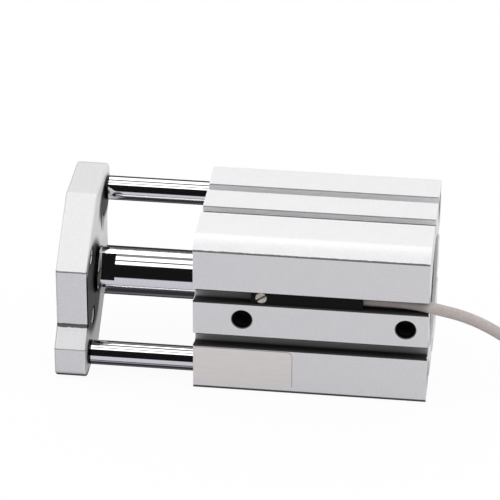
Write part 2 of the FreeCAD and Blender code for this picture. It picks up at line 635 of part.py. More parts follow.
def make_piston():
    """Piston with its seal, magnet ring, wear ring, static o-ring and nut."""
    seal_start = "wall_thickness"
    seal_end = f"({seal_start} + seal_width)"
    magnet_start = f"({seal_end} + wall_thickness)"
    magnet_end = f"({magnet_start} + magnet_width)"
    wear_start = f"({magnet_end} + wall_thickness)"
    wear_end = f"({wear_start} + wear_width)"
    bore = "(spigot_diameter / 2 + fit_gap)"
    recess = "(nut_recess_diameter / 2)"
    recess_start = "(piston_length - nut_recess_depth)"
    piston = new_body("piston", PISTON_FRONT)
    profile = [("0", bore), (recess_start, bore), (recess_start, recess),
               ("piston_length", recess), ("piston_length", PISTON_RADIUS)]
    grooves = ((wear_start, wear_end, "wear_depth"), (magnet_start, magnet_end, "magnet_depth"),
               (seal_start, seal_end, "seal_depth"))
    for start, end, depth in grooves:
        floor = f"{PISTON_RADIUS} - {depth}"
        profile += [(end, PISTON_RADIUS), (end, floor), (start, floor), (start, PISTON_RADIUS)]
    turned(piston, profile + [("0", PISTON_RADIUS)])
    sliding = "(bore_diameter - 2 * running_gap)"
    rings = (("piston_seal", seal_start, "seal_width", "seal_depth", sliding),
             ("magnet_ring", magnet_start, "magnet_width", "magnet_depth",
              f"(2 * {PISTON_RADIUS} - 2 * fit_gap)"),
             ("wear_ring", wear_start, "wear_width", "wear_depth", sliding))
    for name, start, width, depth, outer in rings:
        ring_part(name, f"{PISTON_FRONT} + {start} + fit_gap", f"({width} - 2 * fit_gap)",
                  f"(2 * ({PISTON_RADIUS} - {depth} + fit_gap))", outer)
    o_ring("piston_o_ring", f"{PISTON_FRONT} + wall_thickness + spigot_ring_section / 2 + fit_gap",
           "spigot_diameter / 2 - spigot_ring_section / 2 + fit_gap / 2",
           "spigot_ring_section - 2 * fit_gap")
    make_piston_nut(f"{PISTON_FRONT} + {recess_start}")


def make_piston_nut(start):
    """Thin hexagon nut on the rod's spigot."""
    nut = new_body("piston_nut", start)
    section = sketch_on(nut, "YZ_Plane", "hexagon")
    hexagon(section, "nut_across_flats")
    circle(section, ("0", "0"), "spigot_diameter + 2 * thread_gap")
    pad(nut, section, "nut_thickness", "block")


# --- position switch ---------------------------------------------------------------------------

def make_switch():
    """Switch housing in the slot, its circuit board, end plug and clamp screw."""
    housing = new_body("switch_housing", "switch_setback", SLOT_Y, SLOT_Z)
    round_part = sketch_on(housing, "YZ_Plane", "round_part")
    circle(round_part, ("0", "0"), "slot_channel - 2 * switch_gap")
    pad(housing, round_part, "switch_length", "barrel")
    neck = sketch_on(housing, "YZ_Plane", "neck")
    rectangle(neck, ("switch_sink - slot_centre_depth", "neck_gap - slot_mouth / 2"),
              ("0", "slot_mouth / 2 - neck_gap"))
    pad(housing, neck, "switch_length", "neck_pad")
    cavity = sketch_on(housing, "YZ_Plane", "cavity", "switch_length")
    rectangle(cavity, ("-switch_cavity_depth / 2", "-switch_cavity_height / 2"),
              ("switch_cavity_depth / 2", "switch_cavity_height / 2"))
    pocket(housing, cavity, "cavity_cut", "switch_cavity_length")
    hole = sketch_on(housing, "XZ_Plane", "screw_hole", "-slot_channel")
    circle(hole, ("clamp_setback", "0"), "clamp_diameter + 2 * running_gap")
    pocket(housing, hole, "screw_hole_cut", "2 * slot_channel", flipped=True)

    plug = new_body("switch_end_plug", "switch_setback + switch_length - switch_plug_length",
                    SLOT_Y, SLOT_Z)
    section = sketch_on(plug, "YZ_Plane", "section")
    rectangle(section, ("fit_gap - switch_cavity_depth / 2", "fit_gap - switch_cavity_height / 2"),
              ("switch_cavity_depth / 2 - fit_gap", "switch_cavity_height / 2 - fit_gap"))
    pad(plug, section, "switch_plug_length", "block")

    board_end = "switch_setback + switch_length - switch_plug_length - fit_gap"
    board = new_body("switch_board", f"{board_end} - board_length", SLOT_Y, SLOT_Z)
    strip = sketch_on(board, "YZ_Plane", "strip")
    back = "(switch_cavity_depth / 2 - fit_gap)"
    rectangle(strip, (f"{back} - board_thickness", "-board_height / 2"), (back, "board_height / 2"))
    pad(board, strip, "board_length", "board")
    chips = sketch_on(board, "XZ_Plane", "chips", f"board_thickness - {back}")
    for start in ("chip_start", "chip_start + chip_pitch"):
        rectangle(chips, (start, "-chip_width / 2"), (f"{start} + chip_length", "chip_width / 2"))
    pad(board, chips, "chip_thickness", "chip_pads")
    make_clamp_screw()


def make_clamp_screw():
    """Slotted set screw that jams the switch in its slot."""
    screw = new_body("switch_clamp_screw", "switch_setback + clamp_setback",
                     f"switch_sink + running_gap - {HALF_WIDTH}", SLOT_Z)
    shank = sketch_on(screw, "XZ_Plane", "shank")
    circle(shank, ("0", "0"), "clamp_diameter")
    pad(screw, shank, "clamp_length", "shank_pad", flipped=True)
    slot = sketch_on(screw, "XZ_Plane", "driver_slot")
    rectangle(slot, ("-clamp_diameter", "-clamp_slot_width / 2"),
              ("clamp_diameter", "clamp_slot_width / 2"))
    pocket(screw, slot, "driver_slot_cut", "clamp_slot_depth")
    screw.Placement.Rotation = Rotation(Vector(0, 1, 0), -SIZES["clamp_slot_angle"])


def make_label():
    """Blank film on the lower front strip, with one round corner."""
    label = new_body("rating_film", "label_inset", f"-{HALF_WIDTH}", f"label_floor_gap + {FLOOR}")
    section = sketch_on(label, "XZ_Plane", "section")
    height = f"({HALF_HEIGHT} - {SLOT_Z} - slot_mouth / 2 - label_slot_gap - label_floor_gap)"
    outline(section, [("0", height), ("0", "0"), ("label_length", "0"),
                      ("label_length", f"{height} - label_corner"),
                      ("label_length - label_corner", height)],
            {3: "label_corner"})
    pad(label, section, "label_thickness", "film")


# --- switch lead ---------------------------------------------------------------------------------

def rounded_route(points):
    """Straight runs joined by tangent arcs, each as large as its two runs allow."""
    edges, radii = [], []
    start = points[0]
    for before, corner, after in zip(points, points[1:], points[2:]):
        incoming = (corner - before).normalize()
        outgoing = (after - corner).normalize()
        turn = incoming.getAngle(outgoing)
        setback = 0.45 * min((corner - before).Length, (after - corner).Length)
        entry = corner - incoming * setback
        leave = corner + outgoing * setback
        radius = setback / math.tan(turn / 2)
        to_centre = (outgoing - incoming).normalize()
        middle = corner + to_centre * (radius / math.cos(turn / 2) - radius)
        edges += [Part.LineSegment(start, entry).toShape(),
                  Part.Arc(entry, middle, leave).toShape()]
        radii.append(radius)
        start = leave
    edges.append(Part.LineSegment(start, points[-1]).toShape())
    return Part.Wire(edges), radii


def tube_along(points, diameter, label):
    """A round tube along a route, with its volume compared with section times length."""
    path, radii = rounded_route(points)
    section = Part.Wire(Part.makeCircle(diameter / 2, points[0], points[1] - points[0]))
    tube = path.makePipeShell([section], True, True)
    expected = math.pi * diameter ** 2 / 4 * path.Length
    print(f"{label}: length {path.Length:.1f}, volume {tube.Volume:.1f} of {expected:.1f},",
          "radii", [round(radius, 1) for radius in radii])
    return tube


def plain_node(label, shape):
    """A sub-part whose shape is set directly."""
    node = document.addObject("Part::Feature", label)
    node.Label = label
    node.Shape = shape
    nodes.append(node)


def make_cable():
    """Free stretch of the lead, its put-away coil with a tie, and its two stripped wires."""
    diameter = value("cable_diameter")
    route = [Vector(*point) for point in CABLE_ROUTE]
    plain_node("switch_cable", tube_along(route, diameter, "switch_cable"))

    entry = route[-1]
    width = value("coil_rows * cable_diameter + coil_slack")
    outer = value("coil_diameter / 2") + width / 2
    lane = outer - value("coil_slack") / 2 - diameter / 2
    heading = (entry - route[-2]).normalize()
    towards_centre = Vector(-heading.y, heading.x, 0)
    entry_length = math.sqrt(outer ** 2 - (lane - diameter / 2) ** 2) + value("coil_slack")
    centre = entry + heading * entry_length + towards_centre * lane
    centre.z = value(FLOOR)
    base = centre + Vector(0, 0, value("tie_thickness"))
    height = width
    band = Part.makeCylinder(outer, height, base).cut(Part.makeCylinder(outer - width, height, base))
    rim = [edge for edge in band.Edges if edge.Closed and len(edge.Vertexes) == 1]
    band = band.makeFillet(diameter / 2, rim)
    stub = Part.makeCylinder(diameter / 2, entry_length, entry, heading)
    tail_start = Vector(centre.x + lane, centre.y, base.z + diameter / 2 + value("coil_slack") / 2)
    tail = Part.makeCylinder(diameter / 2, value("cable_tail"), tail_start, Vector(0, 1, 0))
    plain_node("switch_cable_coil", band.fuse([stub, tail]).removeSplitter())

    gap = value("tie_gap")
    strap = value("tie_thickness")
    around = width + 2 * gap
    corner = Vector(centre.x - outer - gap - strap, centre.y - value("tie_width") / 2, centre.z)
    tie = Part.makeBox(around + 2 * strap, value("tie_width"), height + gap + 2 * strap, corner)
    window = Part.makeBox(around, value("tie_width"), height + gap, corner + Vector(strap, 0, strap))
    plain_node("cable_tie", tie.cut(window))

    jacket_end = tail_start + Vector(0, value("cable_tail"), 0)
    for name, sign in (("brown_wire", -1), ("blue_wire", 1)):
        points = [jacket_end + Vector(sign * (value("wire_spacing") + x), y, 0)
                  for x, y in WIRE_ROUTE]
        plain_node(name, tube_along(points, value("wire_diameter"), name))


# --- checks and files ---------------------------------------------------------------------------

def check_and_export():
    """Stop on any failed object or bad shape, then write one STEP file for each sub-part."""
    document.recompute()
    failed = [item.Name for item in document.Objects
              if any(state in ("Invalid", "Error") for state in item.State)]
    if failed:
        sys.exit(f"failed objects: {failed}")
    for node in nodes:
        shape = node.Shape
        if shape.isNull() or not shape.isValid() or not shape.Solids:
            sys.exit(f"bad shape: {node.Label}")
    os.makedirs("parts", exist_ok=True)
    for node in nodes:
        node.Shape.exportStep(f"parts/{node.Label}.step")
    print(len(nodes), "sub-parts, body length", round(value(BODY_LENGTH), 2))


fill_sheet()
make_body_extrusion()
make_rod_end()
make_head_end()
make_guide_bushes()
make_end_plate()
make_flat_screw("plate_centre_screw", "centre_thread", "centre_head", "centre_key",
                "centre_screw_length")
make_guide_screws()
make_rods()
make_piston()
make_switch()
make_label()
make_cable()
check_and_export()
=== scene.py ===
import json
import math

import bmesh
import bpy
from mathutils import Matrix, Quaternion, Vector


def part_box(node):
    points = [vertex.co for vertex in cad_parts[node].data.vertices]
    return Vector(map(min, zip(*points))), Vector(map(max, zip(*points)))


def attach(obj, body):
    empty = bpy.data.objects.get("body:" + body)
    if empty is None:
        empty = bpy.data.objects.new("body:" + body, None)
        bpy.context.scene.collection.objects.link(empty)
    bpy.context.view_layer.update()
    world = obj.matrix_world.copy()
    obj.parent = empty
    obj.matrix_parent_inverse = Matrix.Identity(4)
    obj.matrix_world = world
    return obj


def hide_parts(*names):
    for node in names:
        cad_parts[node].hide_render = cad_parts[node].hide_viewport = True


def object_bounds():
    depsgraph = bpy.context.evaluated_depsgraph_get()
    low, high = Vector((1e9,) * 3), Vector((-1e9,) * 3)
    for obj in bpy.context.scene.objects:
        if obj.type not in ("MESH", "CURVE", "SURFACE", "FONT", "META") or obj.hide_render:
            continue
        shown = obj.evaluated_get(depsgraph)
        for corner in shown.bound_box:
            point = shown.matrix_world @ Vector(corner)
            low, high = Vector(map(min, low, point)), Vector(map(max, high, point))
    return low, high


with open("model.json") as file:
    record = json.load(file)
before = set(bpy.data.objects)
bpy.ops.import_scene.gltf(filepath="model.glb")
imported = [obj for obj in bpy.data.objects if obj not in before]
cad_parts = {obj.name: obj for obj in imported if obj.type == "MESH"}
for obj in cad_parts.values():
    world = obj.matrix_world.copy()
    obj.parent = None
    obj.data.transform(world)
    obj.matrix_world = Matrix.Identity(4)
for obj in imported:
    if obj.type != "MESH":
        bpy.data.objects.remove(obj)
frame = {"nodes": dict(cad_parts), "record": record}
cadLow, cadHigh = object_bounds()
nodes = frame["nodes"]
mounts = {mount["name"]: mount for mount in frame["record"]["mounts"]}
print("frame loaded,", len(nodes), "CAD nodes")

mm = 0.001


# camera

cameraView = {"aim": (0.01187, -0.00405, 0.01024), "distance": 0.7375, "azimuth": 6.63,
              "elevation": 29.3, "roll": 0.31, "lens": 219.15, "sensor": 36, "clip": (0.05, 20)}


def makeCamera():
    azimuth, elevation = (math.radians(cameraView[key]) for key in ("azimuth", "elevation"))
    back = Vector((math.sin(azimuth) * math.cos(elevation),
                   -math.cos(azimuth) * math.cos(elevation), math.sin(elevation)))
    data = bpy.data.cameras.new("camera")
    data.lens = cameraView["lens"]
    data.sensor_width = cameraView["sensor"]
    data.clip_start, data.clip_end = cameraView["clip"]
    camera = bpy.data.objects.new("camera", data)
    bpy.context.scene.collection.objects.link(camera)
    camera.location = Vector(cameraView["aim"]) + back * cameraView["distance"]
    camera.rotation_mode = "QUATERNION"
    level = (-back).to_track_quat("-Z", "Y")
    camera.rotation_quaternion = level @ Quaternion((0, 0, 1), math.radians(cameraView["roll"]))
    bpy.context.scene.camera = camera


makeCamera()
print("camera placed")


# switch lead: free stretch, put-away coil and tail as one spline

lead = {"diameter": 2.8, "length": 0.5, "pointsPerTurn": 18, "centre": (100.73, 5.98),
        "entryAngle": -65.35, "fullTurns": 4, "shiftAngle": 50, "firstShift": 28, "shiftStep": 17,
        "tail": 12.0, "roundness": 6, "smoothness": 8, "order": 3}
# listed points of the free stretch, from the switch's end plug to the coil
leadRoute = [
    (40.8, -17.4, 6.1), (47.0, -17.4, 6.1), (52.4, -17.8, 6.1), (57.2, -18.66, 5.75),
    (66.5, -18.66, 3.75), (75.5, -18.6, -1.2), (83.0, -18.3, -7.2), (89.5, -17.1, -12.2),
    (94.8, -15.4, -13.0), (99.2, -13.3, -12.7),
]
# lanes of the coil as (radius, height): over the top, outer top, inner top, inner low, outer low
leadLanes = [(16.4, -12.5), (16.9, -15.3), (14.1, -15.3), (14.1, -18.1), (16.9, -18.1)]


def eased(share):
    share = min(max(share, 0.0), 1.0)
    return (1 - math.cos(math.pi * share)) / 2


def laneAt(angle):
    turn = int((angle - lead["entryAngle"]) // 360)
    local = angle - turn * 360
    start = lead["firstShift"] + lead["shiftStep"] * (len(leadLanes) - 2 - turn)
    share = eased((local - start) / lead["shiftAngle"])
    here = leadLanes[turn]
    there = leadLanes[min(turn + 1, len(leadLanes) - 1)]
    return [a + (b - a) * share for a, b in zip(here, there)]


def coilPoints():
    step = 360 / lead["pointsPerTurn"]
    widen = 1 / math.cos(math.radians(step / 2))
    last = lead["fullTurns"] * 360
    angle = lead["entryAngle"] + step / 2
    while angle < last:
        radius, height = laneAt(angle)
        turned = math.radians(angle)
        yield (lead["centre"][0] + radius * widen * math.cos(turned),
               lead["centre"][1] + radius * widen * math.sin(turned), height)
        angle += step
    radius, height = leadLanes[-1]
    for along in (0.0, lead["tail"] / 2, lead["tail"]):
        yield (lead["centre"][0] + radius, lead["centre"][1] + along, height)


def makeLead():
    curve = bpy.data.curves.new("switch_lead", "CURVE")
    curve.dimensions = "3D"
    curve.bevel_depth = 1  # times each point's radius, so that the curve's own box is true
    curve.bevel_resolution = lead["roundness"]
    curve.use_fill_caps = True
    curve.resolution_u = lead["smoothness"]
    points = leadRoute + list(coilPoints())
    spline = curve.splines.new("NURBS")
    spline.points.add(len(points) - 1)
    for place, point in zip(spline.points, points):
        place.co = [part * mm for part in point] + [1]
        place.radius = lead["diameter"] / 2 * mm
    spline.order_u = lead["order"]
    spline.use_endpoint_u = True
    piece = bpy.data.objects.new("switch_lead", curve)
    bpy.context.scene.collection.objects.link(piece)
    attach(piece, "switch")
    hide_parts("switch_cable", "switch_cable_coil")
    return piece


switchLead = makeLead()
print("switch lead wound")


# materials

def addNode(tree, kind, feeds=None, **settings):
    node = tree.nodes.new("ShaderNode" + kind)
    for name, setting in settings.items():
        setattr(node, name, setting)
    for name, feed in (feeds or {}).items():
        if isinstance(feed, bpy.types.NodeSocket):
            tree.links.new(feed, node.inputs[name])
        else:
            node.inputs[name].default_value = feed
    return node


def sums(tree, operation, *feeds):
    return addNode(tree, "Math", dict(enumerate(feeds)), operation=operation).outputs[0]


def product(tree, first, *others):
    for other in others:
        first = sums(tree, "MULTIPLY", first, other)
    return first


def absolute(tree, feed):
    return sums(tree, "ABSOLUTE", feed)


def awayFrom(tree, feed, middle):
    return absolute(tree, sums(tree, "SUBTRACT", feed, middle))


def below(tree, feed, edge):
    return sums(tree, "LESS_THAN", feed, edge)


def above(tree, feed, edge):
    return sums(tree, "GREATER_THAN", feed, edge)


def between(tree, feed, low, high, least=0.0, most=1.0):
    return addNode(tree, "MapRange", {"Value": feed, "From Min": low, "From Max": high,
                                      "To Min": least, "To Max": most},
                   interpolation_type="SMOOTHSTEP").outputs[0]


def radiusFrom(tree, first, second, centre):
    along, up = (sums(tree, "SUBTRACT", feed, middle) for feed, middle in
                 zip((first, second), centre))
    squares = sums(tree, "ADD", product(tree, along, along), product(tree, up, up))
    return sums(tree, "SQRT", squares)


def shadedWhere(tree, here, level):
    return sums(tree, "MAXIMUM", level, sums(tree, "SUBTRACT", 1, here))


def rampOf(tree, feed, stops):
    node = addNode(tree, "ValToRGB", {"Fac": feed})
    elements = node.color_ramp.elements
    for element, (place, colour) in zip(elements, (stops[0], stops[-1])):
        element.position = place
        element.color = (*colour, 1)
    for place, colour in stops[1:-1]:
        elements.new(place).color = (*colour, 1)
    return node.outputs[0]


def blended(tree, share, first, second, **settings):
    return addNode(tree, "Mix", {0: share, 6: first, 7: second}, data_type="RGBA",
                   **settings).outputs[2]


def axesOf(tree, place):
    return addNode(tree, "SeparateXYZ", {"Vector": place}).outputs


# each finish: two tones of its grain, metal or not, roughness from and to, the grain's size and
# stretch, and its relief; some have turned rings or straight lines as well, given by their number
finishes = {
    "anodised_aluminium": {"tones": [(0.84, 0.835, 0.845), (0.92, 0.915, 0.925)],
                           "metallic": 0.45, "rough": (0.40, 0.52), "scale": 3600,
                           "stretch": (0.5, 1, 1), "relief": 0.2},
    "machined_aluminium": {"tones": [(0.58, 0.58, 0.59), (0.74, 0.74, 0.75)], "metallic": 1,
                           "rough": (0.26, 0.38), "scale": 900, "stretch": (1, 1, 1),
                           "relief": 0.03, "rings": 1250},
    "hard_chrome": {"tones": [(0.80, 0.80, 0.815), (0.86, 0.86, 0.875)], "metallic": 1,
                    "rough": (0.03, 0.07), "scale": 9000, "stretch": (1, 0.04, 0.04),
                    "relief": 0.02},
    "spring_steel": {"tones": [(0.07, 0.07, 0.075), (0.13, 0.13, 0.135)], "metallic": 0.8,
                     "rough": (0.35, 0.5), "scale": 1800, "stretch": (1, 1, 1), "relief": 0.2},
    "sintered_bronze": {"tones": [(0.30, 0.18, 0.08), (0.56, 0.37, 0.18)], "metallic": 0.9,
                        "rough": (0.32, 0.55), "scale": 5200, "stretch": (1, 1, 1),
                        "relief": 0.5},
    "seal_rubber": {"tones": [(0.010, 0.010, 0.011), (0.022, 0.022, 0.023)], "metallic": 0,
                    "rough": (0.5, 0.68), "scale": 2600, "stretch": (1, 1, 1), "relief": 0.2},
    "bumper_urethane": {"tones": [(0.52, 0.30, 0.09), (0.62, 0.38, 0.13)], "metallic": 0,
                        "rough": (0.28, 0.4), "scale": 700, "stretch": (1, 1, 1), "relief": 0.1},
    "bearing_resin": {"tones": [(0.12, 0.085, 0.055), (0.20, 0.145, 0.09)], "metallic": 0,
                      "rough": (0.4, 0.55), "scale": 4200, "stretch": (1, 1, 1), "relief": 0.15},
    "magnet_compound": {"tones": [(0.022, 0.021, 0.020), (0.05, 0.047, 0.044)], "metallic": 0.2,
                        "rough": (0.45, 0.6), "scale": 6000, "stretch": (1, 1, 1),
                        "relief": 0.25},
    "black_oxide_steel": {"tones": [(0.018, 0.018, 0.020), (0.040, 0.040, 0.043)], "metallic": 0.7,
                          "rough": (0.28, 0.42), "scale": 2400, "stretch": (1, 1, 1),
                          "relief": 0.15, "rings": 1600},
    "zinc_steel": {"tones": [(0.50, 0.51, 0.52), (0.66, 0.67, 0.69)], "metallic": 1,
                   "rough": (0.25, 0.4), "scale": 1500, "stretch": (1, 1, 1), "relief": 0.12},
    "switch_resin": {"tones": [(0.004, 0.004, 0.004), (0.009, 0.009, 0.009)], "metallic": 0,
                     "rough": (0.42, 0.55), "scale": 5200, "stretch": (1, 1, 1), "relief": 0.3,
                     "shine": 0.08},
    "circuit_board": {"tones": [(0.008, 0.07, 0.03), (0.015, 0.12, 0.05)], "metallic": 0,
                      "rough": (0.25, 0.4), "scale": 2000, "stretch": (1, 1, 1),
                      "relief": 0.1, "lines": 160},
    "nickel_brass": {"tones": [(0.36, 0.33, 0.27), (0.80, 0.76, 0.66)], "metallic": 1,
                     "rough": (0.26, 0.4), "scale": 2600, "stretch": (0.5, 1, 1),
                     "relief": 0.15},
    "blank_film": {"tones": [(0.86, 0.825, 0.805), (0.91, 0.875, 0.855)], "metallic": 0.1,
                   "rough": (0.34, 0.44), "scale": 5200, "stretch": (0.05, 1, 1),
                   "relief": 0.05},
    "cable_jacket": {"tones": [(0.52, 0.46, 0.435), (0.60, 0.54, 0.51)], "metallic": 0,
                     "rough": (0.38, 0.5), "scale": 1400, "stretch": (1, 1, 1), "relief": 0.2},
    "tie_nylon": {"tones": [(0.70, 0.68, 0.61), (0.80, 0.78, 0.72)], "metallic": 0,
                  "rough": (0.3, 0.42), "scale": 1800, "stretch": (1, 1, 1),
                  "relief": 0.12, "lines": 500},
    "brown_insulation": {"tones": [(0.13, 0.045, 0.018), (0.19, 0.07, 0.03)], "metallic": 0,
                         "rough": (0.32, 0.45), "scale": 1600, "stretch": (1, 1, 1),
                         "relief": 0.12},
    "blue_insulation": {"tones": [(0.018, 0.065, 0.33), (0.03, 0.10, 0.45)], "metallic": 0,
                        "rough": (0.32, 0.45), "scale": 1600, "stretch": (1, 1, 1),
                        "relief": 0.12},
    # the thread ridges' dark tone is oil and painted shade inside the tapped holes
    "oiled_thread": {"tones": [(0.02, 0.02, 0.021), (0.06, 0.06, 0.062)], "metallic": 0.8,
                     "rough": (0.25, 0.4), "scale": 2600, "stretch": (1, 1, 1), "relief": 0.15},
    "bare_copper": {"tones": [(0.62, 0.27, 0.14), (0.80, 0.40, 0.23)], "metallic": 1,
                    "rough": (0.2, 0.35), "scale": 3000, "stretch": (1, 1, 1), "relief": 0.1},
}


# what every finish shares: how fine its grain and clouds are and how they set tone and roughness
surface = {"detail": 3.0, "grainRoughness": 0.6, "cloudSize": 12, "clouds": 0.15,
           "toneRange": (0.36, 0.64), "roughRange": (0.3, 0.7), "depth": 0.05,
           "ringWaver": 0.4, "lineWaver": 1.5, "shine": 0.5}


def makeFinish(name, finish, shading=None):
    material = bpy.data.materials.new(name)
    material.use_nodes = True
    tree = material.node_tree
    shader = tree.nodes["Principled BSDF"]
    shine = finish.get("shine", surface["shine"])
    shader.inputs["Metallic"].default_value = finish["metallic"]
    shader.inputs["Specular IOR Level"].default_value = shine
    place = addNode(tree, "TexCoord").outputs["Object"]
    along = addNode(tree, "Mapping", {"Vector": place, "Scale": finish["stretch"]}).outputs[0]
    grain = addNode(tree, "TexNoise", {"Vector": along, "Scale": finish["scale"],
                                       "Detail": surface["detail"],
                                       "Roughness": surface["grainRoughness"]}).outputs[0]
    clouds = addNode(tree, "TexNoise", {"Vector": place,
                                        "Scale": finish["scale"] / surface["cloudSize"]}).outputs[0]
    height = grain
    if "rings" in finish:
        turned = addNode(tree, "TexWave", {"Vector": place, "Scale": finish["rings"],
                                           "Distortion": surface["ringWaver"]}, wave_type="RINGS")
        height = sums(tree, "ADD", height, turned.outputs["Fac"])
    if "lines" in finish:
        straight = addNode(tree, "TexWave", {"Vector": place, "Scale": finish["lines"],
                                             "Distortion": surface["lineWaver"]},
                           bands_direction="Z")
        height = sums(tree, "ADD", height, straight.outputs["Fac"])
    mixture = sums(tree, "MULTIPLY_ADD", clouds, surface["clouds"],
                   product(tree, grain, 1 - surface["clouds"]))
    colour = rampOf(tree, mixture, list(zip(surface["toneRange"], finish["tones"])))
    # painted shade, where a finish has it, darkens its colour and its specular level
    if shading:
        shade = shading(tree, place)
        colour = blended(tree, 1.0, colour, shade, blend_type="MULTIPLY")
        tree.links.new(product(tree, shade, shine), shader.inputs["Specular IOR Level"])
    tree.links.new(colour, shader.inputs["Base Color"])
    tree.links.new(between(tree, mixture, *surface["roughRange"], *finish["rough"]),
                   shader.inputs["Roughness"])
    bump = addNode(tree, "Bump", {"Strength": finish["relief"], "Distance": surface["depth"] * mm,
                                  "Height": height})
    tree.links.new(bump.outputs[0], shader.inputs["Normal"])
    return material


# painted shade inside the body's slots, as (depth below the face, level), for front and top faces
slotShade = {"frontReach": 17.4, "topReach": 13.6, "endGap": 0.15, "deepest": 5.0,
             "front": [(0.0, 1.0), (0.12, 1.0), (0.20, 0.05), (3.1, 0.06), (3.8, 0.42),
                       (4.45, 0.5), (4.58, 0.06), (4.93, 0.06), (4.98, 1.0)],
             "top": [(0.0, 1.0), (0.02, 0.5), (0.25, 0.5), (0.35, 1.0)]}


def slotShades(tree, parts, box):
    low, high = box
    across, height = (absolute(tree, parts[axis]) for axis in "YZ")
    within = below(tree, awayFrom(tree, parts["X"], (low.x + high.x) / 2),
                   (high.x - low.x) / 2 - slotShade["endGap"] * mm)
    shades = []
    for place, depth, face, beside in (("front", across, high.y, height),
                                       ("top", height, high.z, across)):
        sunk = addNode(tree, "MapRange", {"Value": depth, "From Min": face,
                                          "From Max": face - slotShade["deepest"] * mm}).outputs[0]
        stops = [(step / slotShade["deepest"], (level,) * 3) for step, level in slotShade[place]]
        here = product(tree, within, below(tree, beside, slotShade[place + "Reach"] * mm))
        shades.append(shadedWhere(tree, here, rampOf(tree, sunk, stops)))
    return sums(tree, "MINIMUM", *shades)


# painted shade along the lower lips of the front slots, by the height of each lip's middle
lips = {"heights": (4.30, -7.90), "half": 0.28, "soft": 0.06, "shade": 0.06, "depth": 0.2}


def lipShades(tree, parts, box):
    inner, outer = ((lips["half"] + side * lips["soft"]) * mm for side in (-1, 1))
    shades = [between(tree, awayFrom(tree, parts["Z"], height * mm), inner, outer,
                      lips["shade"], 1) for height in lips["heights"]]
    front = below(tree, parts["Y"], box[0].y + lips["depth"] * mm)
    return shadedWhere(tree, front, product(tree, *shades))


# painted shade in the air ports: how wide they are dark, from how far below the face, and the dark
# line round each
portShade = {"radius": 2.34, "sunk": 0.01, "shade": 0.04, "line": (2.46, 2.62),
             "lineShade": 0.3}


def portShades(tree, parts, box):
    sunk = above(tree, parts["Y"], box[0].y + portShade["sunk"] * mm)
    front = below(tree, parts["Y"], 0)
    shades = []
    for name in ("rod_air_port", "head_air_port"):
        away = radiusFrom(tree, parts["X"], parts["Z"], (mounts[name]["pos_m"][0], 0))
        hole = below(tree, away, portShade["radius"] * mm)
        inner, outer = (below(tree, away, edge * mm) for edge in portShade["line"])
        line = sums(tree, "SUBTRACT", outer, inner)
        shades += [shadedWhere(tree, product(tree, hole, sunk, front), portShade["shade"]),
                   shadedWhere(tree, product(tree, line, front), portShade["lineShade"])]
    return product(tree, *shades)


# dark lines along the two blocks as (height, width, shade); the plate's lines at 7.3 and -7.35 mm
# are painted shade in its concave creases
edgeLines = {"body": [(18.0, 0.36, 0.2)],
             "plate": [(7.3, 0.30, 0.32), (-7.35, 0.85, 0.16), (-11.7, 0.2, 0.5)],
             "scale": 900, "ragged": 0.4, "endGap": 0.03}


def lineShades(tree, parts, place, box, rows):
    ragged = addNode(tree, "TexNoise", {"Vector": place, "Scale": edgeLines["scale"]}).outputs[0]
    steady = (1 - edgeLines["ragged"]) / 2
    shades = []
    for height, width, level in rows:
        reach = sums(tree, "MULTIPLY_ADD", ragged, edgeLines["ragged"] * width * mm,
                     steady * width * mm)
        away = awayFrom(tree, parts["Z"], height * mm)
        shades.append(shadedWhere(tree, below(tree, away, reach), level))
    low, high = box
    onEnds = above(tree, awayFrom(tree, parts["X"], (low.x + high.x) / 2),
                   (high.x - low.x) / 2 - edgeLines["endGap"] * mm)
    behind = above(tree, parts["Y"], 0)
    return sums(tree, "MAXIMUM", product(tree, *shades), sums(tree, "MAXIMUM", onEnds, behind))


# painted shade on the foot of each block, where it reflects the shadow beneath it: full shade
# below, none above, and how far back it reaches
foot = {"body": (-19.28, -19.08, -19.0), "plate": (-18.8, -18.2, -16.0), "shade": 0.10}


def footShade(tree, parts, block):
    low, high, front = foot[block]
    level = between(tree, parts["Z"], low * mm, high * mm, foot["shade"], 1)
    return sums(tree, "MAXIMUM", level, above(tree, parts["Y"], front * mm))


# painted shade and painted reflection of the rods on the back of the plate, darker towards its
# bottom, and the shelf milled on top of it
plateBack = {"depth": 0.3, "centre": (-7.0, -1.0), "near": 10.2, "far": 13.0, "shade": 0.02,
             "lowest": -12.0, "highest": 6.0, "lowShade": 0.55,
             "rodSpot": (-2.4, -1.6), "spotLong": 2.0, "spotNear": 3.6, "spotFar": 5.6}
shelfShade = {"edge": 0.06, "shade": 0.86}


def plateBackShade(tree, parts, box):
    away = radiusFrom(tree, parts["Y"], parts["Z"], [part * mm for part in plateBack["centre"]])
    middle = between(tree, away, plateBack["near"] * mm, plateBack["far"] * mm,
                     plateBack["shade"], 1)
    rod = sum(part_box("upper_guide_rod"), Vector()) / 2
    along, up = plateBack["rodSpot"]
    beside = sums(tree, "SUBTRACT", parts["Y"], rod.y + along * mm)
    beside = sums(tree, "DIVIDE", beside, plateBack["spotLong"])
    away = radiusFrom(tree, beside, parts["Z"], (0, rod.z + up * mm))
    spot = between(tree, away, plateBack["spotNear"] * mm, plateBack["spotFar"] * mm,
                   plateBack["shade"], 1)
    low = between(tree, parts["Z"], plateBack["lowest"] * mm, plateBack["highest"] * mm,
                  plateBack["lowShade"], 1)
    front = below(tree, parts["X"], box[1].x - plateBack["depth"] * mm)
    return sums(tree, "MAXIMUM", product(tree, middle, spot, low), front)


# painted shade on the body, in its slots, along its lower lips, in its ports and on its foot, and
# its dark lines
def bodyShade(tree, place):
    parts = axesOf(tree, place)
    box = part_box("body_extrusion")
    return product(tree, slotShades(tree, parts, box), lipShades(tree, parts, box),
                   portShades(tree, parts, box), footShade(tree, parts, "body"),
                   lineShades(tree, parts, place, box, edgeLines["body"]))
